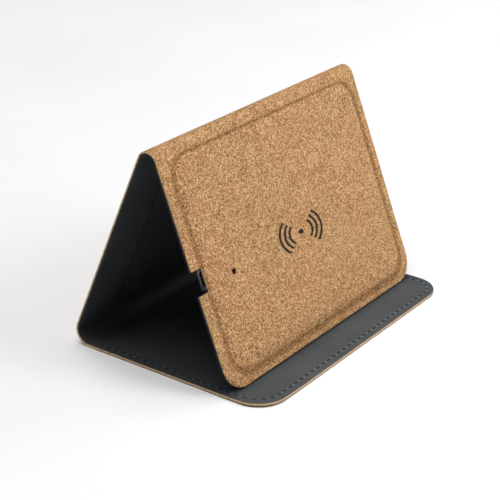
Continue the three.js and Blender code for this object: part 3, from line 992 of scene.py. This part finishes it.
def make_back_skin(name, slot, node, face, back, creased):
    """A grid skin, so that creases can cross it."""
    rows = 60
    xs = columns_across(120, [PRESSED_LINE + step * 0.3 * MM for step in range(-4, 5)])
    low = FOLD_OVERLAP
    high = BACK_LENGTH - FOLD_OVERLAP
    sign = 1 if back > face else -1
    meet = BACK_MEET - SKIN_GAP if face < back else BACK_MEET
    vertices = []
    uvs = []
    for side in ("face", "back"):
        for r in range(rows + 1):
            s = low + (high - low) * r / rows
            for x in xs:
                edge = min(x, WIDTH - x)
                if side == "face":
                    depth = face + sign * rim_round(edge / MM)
                    if creased:
                        ends = smooth((s - low) / (6 * MM)) * smooth((high - s) / (6 * MM))
                        depth -= lining_creases(x, s) * ends
                else:
                    depth = back if edge > RIM else meet
                vertices.append(back_panel.at(x, s, -depth))
                uvs.append(back_panel.grain(x, s))
    faces, indices = sheet_faces(rows + 1, len(xs))
    obj = mesh_object(name, vertices, faces, [slot, EDGE_OF[slot]], indices, uvs)
    # Painted shade along the pressed line's crease.
    if creased:
        mark(obj, "pressed", lambda point: bump(point.x - X_LEFT - PRESSED_LINE, 1.1 * MM))
    outward(obj)
    return place_piece(obj, "back_panel", slot, node)


# --- Charging panel ---

SPANS = (56, 40, 56, 40)


def panel_loop(inset):
    """A loop inside the charging panel's outline, up to where the apex fold starts."""
    radius = max(FRONT_CORNER - inset, 0.2 * MM)
    top = FRONT_LENGTH - APEX_END_OVERLAP
    return rounded_loop(inset, WIDTH - inset, inset, top, [radius, radius, 0, 0], SPANS)


def pad_loop(inset):
    """A loop inside (or, with a negative inset, outside) the raised pad's plan."""
    radius = PAD["radius"] - inset
    return rounded_loop(
        PAD["x0"] + inset, PAD["x1"] - inset, PAD["s0"] + inset, PAD["s1"] - inset, [radius] * 4, SPANS
    )


# Cork face of the pad, as (inset from the pad's plan, height): crown, soft shoulder, valley, flat margin.
PAD_PROFILE = [
    (9.0, 0.93), (6.5, 0.91), (5.0, 0.87), (4.0, 0.80), (3.2, 0.69), (2.5, 0.53), (1.9, 0.34),
    (1.4, 0.15), (0.9, -0.05), (0.4, -0.23), (-0.1, -0.36), (-0.6, -0.42), (-1.1, -0.41), (-1.6, -0.33),
    (-2.1, -0.22), (-2.7, -0.11), (-3.3, -0.03), (-3.9, 0.0),
]


# The same for the lining, which bulges behind the pad.
BULGE_PROFILE = [
    (9.0, -5.9), (6.5, -5.88), (5.0, -5.8), (3.8, -5.62), (2.8, -5.3), (2.0, -4.85), (1.3, -4.2),
    (0.8, -3.5), (0.3, -2.9), (-0.2, -2.45), (-0.8, -2.15), (-1.6, -2.02), (-2.4, -2.0),
]
EDGE_INSETS = (0.9, 0.4, 0.2, 0.08, 0.0)  # of the loops that round off the cut edge, in millimetres


def clamped_pad_loop(inset):
    """pad_loop kept inside the panel's own outline, where the pad comes near its upper edge."""
    limit = FRONT_LENGTH - APEX_END_OVERLAP - 0.05 * MM * (3 + inset / MM)
    return [(x, min(s, limit)) for x, s in pad_loop(inset)]


def upper_fade(s):
    """1 over the panel, falling to 0 where the apex fold starts."""
    return smooth((FRONT_LENGTH - APEX_END_OVERLAP - s) / (1.3 * MM))


def cut_with(obj, cutter):
    """Takes the cutter's solid out of obj, and removes the cutter."""
    modifier = obj.modifiers.new("cut", "BOOLEAN")
    modifier.operation = "DIFFERENCE"
    modifier.solver = "EXACT"
    modifier.object = cutter
    bpy.context.view_layer.update()
    shaped = bpy.data.meshes.new_from_object(obj.evaluated_get(bpy.context.evaluated_depsgraph_get()))
    obj.modifiers.clear()
    obj.data = shaped
    bpy.data.objects.remove(cutter)
    outward(obj)


def notch_cutter():
    """A block with softly rounded inner corners, on the left edge."""
    radius = 0.3 * MM
    radii = [0, radius, radius, 0]
    loop = rounded_loop(-4 * MM, NOTCH["x"], NOTCH["low"], NOTCH["high"], radii, PLAIN_SPANS)
    return prism("cutter", loop, -9 * MM, 4 * MM, ["edge"])


def prism(name, loop, low, high, materials):
    """A straight-sided solid on a loop of the charging panel, from one height to another."""
    unique = [p for i, p in enumerate(loop) if dist(p, loop[i - 1]) > 1e-7]
    ends = [[charging.at(x, s, n) for x, s in unique] for n in (low, high)]
    return straight_solid(name, *ends, materials)


def circle_loop(x, s, radius, steps=40):
    """Points round a circle on the charging panel."""
    turns = [2 * pi * i / steps for i in range(steps)]
    return [(x + radius * cos(t), s + radius * sin(t)) for t in turns]


def valley_shade(point):
    """How much the pad's cork is darkened here, as painted shade of the valley with some of the pressed
    cork's own darker tone: 1 well below the panel's own level.
    """
    origin = charging.at(0, 0, 0)
    height = (point - origin).dot(charging.at(0, 0, 1) - origin)
    return smooth(-height / (0.28 * MM))


def make_front_cork():
    """The pad's cork: raised, with the pressed line round it, and cut for the notch and the light."""
    skin = Skin()
    crown = pad_loop(PAD_PROFILE[0][0] * MM)
    skin.fill(crown, CROWN)
    for inset, height in PAD_PROFILE:
        skin.add(clamped_pad_loop(inset * MM), height * MM)
        skin.change_last(lambda x, s, n: n if n > 0 else n * upper_fade(s))
    for inset in EDGE_INSETS:
        skin.add(panel_loop(inset * MM), -rim_round(inset))
    skin.materials[-1] = 1
    meet = CHARGING_MEET - SKIN_GAP
    skin.add(panel_loop(0.0), -meet, 1)
    skin.add(panel_loop(RIM), -meet, 1)
    skin.add(panel_loop(RIM + 0.05 * MM), -CORK_BACK)
    for inset, height in ((-0.6, -0.74), (0.9, -0.66)):
        skin.add(clamped_pad_loop(inset * MM), height * MM)
    skin.add(pad_loop(3.0 * MM), 0.12 * MM)
    skin.add(pad_loop(5.0 * MM), PAD_RISE - CORK_BACK)
    skin.fill(crown, PAD_RISE - CORK_BACK, outward=False)
    obj = layered_solid("front_cork", charging, skin, ["cork", "edge"])
    cut_with(obj, notch_cutter())
    # Painted shade in the pad's valley, with some of the pressed cork's own darker tone.
    mark(obj, "pressed", valley_shade)
    hole = circle_loop(LIGHT["x"], LIGHT["s"], LIGHT["radius"])
    cut_with(obj, prism("cutter", hole, -3 * MM, 4 * MM, ["ink"]))
    obj.data.shade_smooth()
    obj.data.set_sharp_from_angle(angle=SHARP)
    return place_piece(obj, "charging_panel", "cork", "front_cork_skin")


def make_front_lining():
    """The lining behind the pad, drawn over the foam and the charger."""
    skin = Skin()
    crown = pad_loop(BULGE_PROFILE[0][0] * MM)
    skin.fill(crown, BULGE_PROFILE[0][1] * MM)
    for inset, height in BULGE_PROFILE:
        skin.add(clamped_pad_loop(inset * MM), height * MM)
    for inset in EDGE_INSETS:
        skin.add(panel_loop(inset * MM), rim_round(inset) - SHEET)
    skin.materials[-1] = 1
    skin.add(panel_loop(0.0), -CHARGING_MEET, 1)
    skin.add(panel_loop(RIM), -CHARGING_MEET, 1)
    skin.add(panel_loop(RIM + 0.05 * MM), -LINING_FRONT)
    skin.add(clamped_pad_loop(-1.2 * MM), -LINING_FRONT)
    skin.add(clamped_pad_loop(0.9 * MM), -2.2 * MM)
    for inset, height in ((1.5, -3.6), (2.4, -4.8), (4.2, -5.28)):
        skin.add(pad_loop(inset * MM), height * MM)
    skin.fill(crown, -5.3 * MM, outward=False)
    obj = layered_solid("front_lining_skin", charging, skin, ["lining", "lining_edge"])
    cut_with(obj, notch_cutter())
    half = 5.7 * MM
    nose = rounded_loop(5 * MM, 14 * MM, SOCKET["s"] - half, SOCKET["s"] + half, [0] * 4, PLAIN_SPANS)
    cut_with(obj, prism("cutter", nose, -5.3 * MM, -0.2 * MM, ["lining"]))
    obj.data.shade_smooth()
    obj.data.set_sharp_from_angle(angle=SHARP)
    return place_piece(obj, "charging_panel", "lining", "front_lining")


def rough_outline(points, rng, amount=0.09 * MM):
    """Ink on cork has a slightly torn edge."""
    return [(x + rng.uniform(-amount, amount), s + rng.uniform(-amount, amount)) for x, s in points]


def make_sign():
    """A dot with three arcs each side, printed on the pad."""
    rng = random.Random(7)
    shapes = [circle_loop(0, 0, SIGN["dot"], 56)]
    steps = 46
    half_line = SIGN["line"] / 2
    for radius in SIGN_RADII:
        for facing in (0.0, pi):
            outer = []
            inner = []
            for i in range(steps + 1):
                turn = facing - SIGN_SPREAD + 2 * SIGN_SPREAD * i / steps
                for line, reach in ((outer, radius + half_line), (inner, radius - half_line)):
                    line.append((reach * cos(turn), reach * sin(turn)))
            shapes.append(outer + inner[::-1])
    low = CROWN - 0.01 * MM
    pieces = []
    for points in shapes:
        drawn = [(SIGN["x"] + x, SIGN["s"] + SIGN_SQUASH * y + SIGN_TILT * x) for x, y in points]
        pieces.append(prism("sign", rough_outline(drawn, rng), low, low + 0.035 * MM, ["ink"]))
    sign = joined("charging_sign", pieces)
    return place_piece(sign, "charging_panel", "thread")


def joined(name, objects):
    """Makes several meshes one piece."""
    with bpy.context.temp_override(active_object=objects[0], selected_editable_objects=objects):
        bpy.ops.object.join()
    objects[0].name = name
    return objects[0]


def stadium(width, height, steps=12):
    """Points round a round-ended slot, as (s, n) about its middle."""
    radius = height / 2
    reach = width / 2 - radius
    points = []
    for side in (1, -1):
        for i in range(steps + 1):
            turn = pi * i / steps - side * pi / 2
            points.append((side * reach + radius * cos(turn), radius * sin(turn)))
    return points


def make_socket_shell():
    """Drawn metal sleeve with a rolled mouth."""
    length = 7.3 * MM
    wall = 0.3 * MM
    profile = [  # (distance in from the mouth, inset from the outside)
        (length, 0.0), (0.22 * MM, 0.0), (0.07 * MM, 0.04 * MM), (0.0, wall / 2),
        (0.07 * MM, wall - 0.04 * MM), (0.22 * MM, wall), (length, wall),
    ]
    vertices = []
    for depth, inset in profile:
        for s, n in stadium(SOCKET["width"] - 2 * inset, SOCKET["height"] - 2 * inset):
            vertices.append(charging.at(SOCKET["x"] + depth, SOCKET["s"] + s, SOCKET["n"] + n))
    faces = quads(0, len(profile), len(vertices) // len(profile), wrap=True)
    obj = mesh_object("socket_shell", vertices, faces, ["nickel"])
    outward(obj)
    return place_piece(obj, "charging_panel", "nickel", "usb_socket_shell")


def across(name, section, x0, x1, materials):
    """A straight solid on a section of (s, n) points, running from x0 to x1."""
    ends = [[charging.at(x, SOCKET["s"] + s, SOCKET["n"] + n) for s, n in section] for x in (x0, x1)]
    return straight_solid(name, *ends, materials)


def rectangle(half, low, high):
    """A section across the socket, as (s, n) points."""
    return [(-half, low), (half, low), (half, high), (-half, high)]


def make_socket_surround():
    """The nose's front wall, with a close-fitting hole round the sleeve and two ribs under it."""
    half = 4.78 * MM
    front = SOCKET["x"] + 0.25 * MM
    outline = rectangle(half, -1.93 * MM, 1.58 * MM)
    wall = across("socket_surround", outline, front, front + 0.8 * MM, ["black_plastic"])
    hole = stadium(SOCKET["width"] + 0.08 * MM, SOCKET["height"] + 0.08 * MM)
    cut_with(wall, across("cutter", hole, front - MM, front + 2 * MM, ["black_plastic"]))
    ribs = []
    for height in (-1.35 * MM, -1.75 * MM):
        outline = rectangle(0.9 * half, height - 0.06 * MM, height + 0.06 * MM)
        ribs.append(across("rib", outline, front - 0.2 * MM, front - 0.01 * MM, ["smoked_plastic"]))
    place_piece(joined("socket_surround_ribs", ribs), "charging_panel", "black_plastic")
    wall.data.set_sharp_from_angle(angle=SHARP)
    return place_piece(wall, "charging_panel", "black_plastic")


def make_socket_contacts():
    """Gilt strips along both sides of the tongue."""
    strips = []
    first = SOCKET["x"] + 0.95 * MM
    for i in range(12):
        middle = SOCKET["s"] + (i - 5.5) * 0.5 * MM
        for low in (SOCKET["n"] + 0.34 * MM, SOCKET["n"] - 0.37 * MM):
            loop = block_loop(first + 1.5 * MM, middle, 3 * MM, 0.26 * MM, 0.1 * MM)
            strips.append(prism("strip", loop, low, low + 0.03 * MM, ["gilt"]))
    contacts = joined("socket_contacts", strips)
    return place_piece(contacts, "charging_panel", "copper")


# --- Parts on the circuit board ---

BED = -3.1 * MM  # what stands on the circuit board starts at this height
COIL = mm(x=85.7, s=54.6, inner=10, outer=25)
COIL_TURNS = 15
COIL_MIDDLE = -1.8 * MM
CHIP_PADS = 6  # along each side


def make_coil():
    """A flat coil: turns of thick wire lying side by side."""
    pitch = (COIL["outer"] - COIL["inner"]) / COIL_TURNS
    arch = [pi * i / 5 for i in range(5)]
    profile = []
    for side, order in ((1, range(COIL_TURNS)), (-1, reversed(range(COIL_TURNS)))):
        for k in order:
            centre = COIL["inner"] + (k + 0.5) * pitch
            for turn in arch:
                reach = centre - side * 0.5 * pitch * cos(turn)
                profile.append((reach, COIL_MIDDLE + side * (0.12 + 0.28 * sin(turn)) * MM))
    steps = 96
    vertices = []
    for i in range(steps):
        angle = 2 * pi * i / steps
        for reach, height in profile:
            x = COIL["x"] + reach * cos(angle)
            vertices.append(charging.at(x, COIL["s"] + reach * sin(angle), height))
    faces = quads(0, steps, len(profile), wrap=True)
    obj = mesh_object("wound_coil", vertices, faces, ["copper"], sharp_angle=70)
    outward(obj)
    return place_piece(obj, "charging_panel", "copper", "transmit_coil")


def bevelled_block(x, s, length, width, low, high, bevel, material):
    """A block with rounded corners in plan and a bevelled top, by its middle and its size."""
    skin = Skin()
    for inset, height in ((0.0, low), (0.0, high - bevel), (bevel, high)):
        radius = max(0.15 * MM - inset, 0.02 * MM)
        skin.add(block_loop(x, s, length - 2 * inset, width - 2 * inset, radius), height)
    return layered_solid("block", charging, skin, [material])


def make_chip(node, x, s, side, height):
    """A square package with solder pads along its sides and a round mark at its first pad."""
    top = BED + height
    parts = [bevelled_block(x, s, side, side, BED, top, 0.12 * MM, "chip")]
    for quarter in range(4):
        turn = quarter * pi / 2
        for i in range(CHIP_PADS):
            along = (i - (CHIP_PADS - 1) / 2) * side / (CHIP_PADS + 1)
            px = x + side / 2 * cos(turn) - along * sin(turn)
            ps = s + side / 2 * sin(turn) + along * cos(turn)
            pad_size = (0.4 * MM, 0.24 * MM) if quarter % 2 == 0 else (0.24 * MM, 0.4 * MM)
            loop = block_loop(px, ps, *pad_size, 0.03 * MM)
            parts.append(prism("pad", loop, BED, BED + 0.1 * MM, ["nickel"]))
    spot = circle_loop(x - 0.36 * side, s + 0.36 * side, 0.22 * MM, 16)
    parts.append(prism("spot", spot, top - 0.01 * MM, top + 0.01 * MM, ["capacitor"]))
    return place_piece(joined(f"{node}_package", parts), "charging_panel", "chip", node)


def make_capacitor(node, x, s, length, width, height):
    """A ceramic block with a metal cap round each end."""
    cap = 0.2 * length
    inner = 0.05 * MM
    parts = [
        bevelled_block(x, s, length - cap, width - 2 * inner, BED + inner, BED + height - inner,
                       0.08 * MM, "capacitor")
    ]
    for side in (-1, 1):
        middle = x + side * (length - cap) / 2
        parts.append(bevelled_block(middle, s, cap, width, BED, BED + height, 0.1 * MM, "nickel"))
    return place_piece(joined(f"{node}_body", parts), "charging_panel", "capacitor", node)


def make_circuit_parts():
    """The chips and capacitors, where the CAD model has them."""
    make_chip("controller_chip", 34 * MM, 66 * MM, 5 * MM, 0.9 * MM)
    make_chip("driver_chip", 43 * MM, 66 * MM, 4 * MM, 0.8 * MM)
    make_capacitor("input_capacitor", 22 * MM, 70 * MM, 3.2 * MM, 1.6 * MM, 1.6 * MM)
    for i in range(4):
        s = (33 + 4 * i) * MM
        make_capacitor(f"resonant_capacitor_{i + 1}", 53 * MM, s, 3.2 * MM, 2.5 * MM, 1.8 * MM)


# --- Carried-over CAD nodes ---

CARRIED = {
    "base_stiffener_board": "board",
    "back_stiffener_board": "board",
    "front_stiffener_board": "board",
    "base_keeper_plate_1": "steel",
    "base_keeper_plate_2": "steel",
    "foam_frame": "foam",
    "charger_tray": "black_plastic",
    "charger_cover": "black_plastic",
    "circuit_board": "circuit_board",
    "ferrite_sheet": "ferrite",
    "coil_lead_inner": "copper",
    "coil_lead_outer": "copper",
    "usb_socket_tongue": "black_plastic",
    "status_led": "led",
    "light_pipe": "smoked_plastic",
    "edge_magnet_1": "nickel",
    "edge_magnet_2": "nickel",
}


def dress_carried_nodes():
    """Gives each CAD node that is shown as it is its material."""
    for node, material in CARRIED.items():
        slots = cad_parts[node].material_slots
        for entry in slots:
            entry.material = MATERIALS[material]


# --- Build ---

make_camera()
make_studio()
dress_carried_nodes()

cork_depths = (0.0, CORK_BACK)
lining_depths = (SHEET, LINING_FRONT)
make_base_skin("base_cork", "cork", "base_cork_skin", *cork_depths, False)
make_base_skin("base_lining_skin", "lining", "base_lining", *lining_depths, True)
make_stitches()

rear_fold = (
    REAR, REAR_RADIUS, DOWN_NORMAL, REAR_TURN, BASE_LENGTH,
    (BASE_MEET, BACK_MEET), FOLD_OVERLAP, ("base", "back_panel"),
)
apex_fold = (
    APEX, APEX_RADIUS, BACK_NORMAL, APEX_TURN, V_BACK + BACK_LENGTH,
    (BACK_MEET, CHARGING_MEET), APEX_END_OVERLAP, ("back_panel", "charging_panel"),
)
make_fold("rear_fold_cork_strip", "cork", "rear_fold_cork", rear_fold, *cork_depths)
make_fold("rear_fold_lining_strip", "lining", "rear_fold_lining", rear_fold, *lining_depths)
make_fold("apex_fold_cork_strip", "cork", "apex_fold_cork", apex_fold, *cork_depths)
make_fold("apex_fold_lining_strip", "lining", "apex_fold_lining", apex_fold, *lining_depths)
make_back_skin("back_cork", "cork", "back_cork_skin", *cork_depths, False)
make_back_skin("back_lining_skin", "lining", "back_lining", *lining_depths, True)
make_front_cork()
make_front_lining()
make_sign()
make_socket_shell()
make_socket_surround()
make_socket_contacts()
make_coil()
make_circuit_parts()
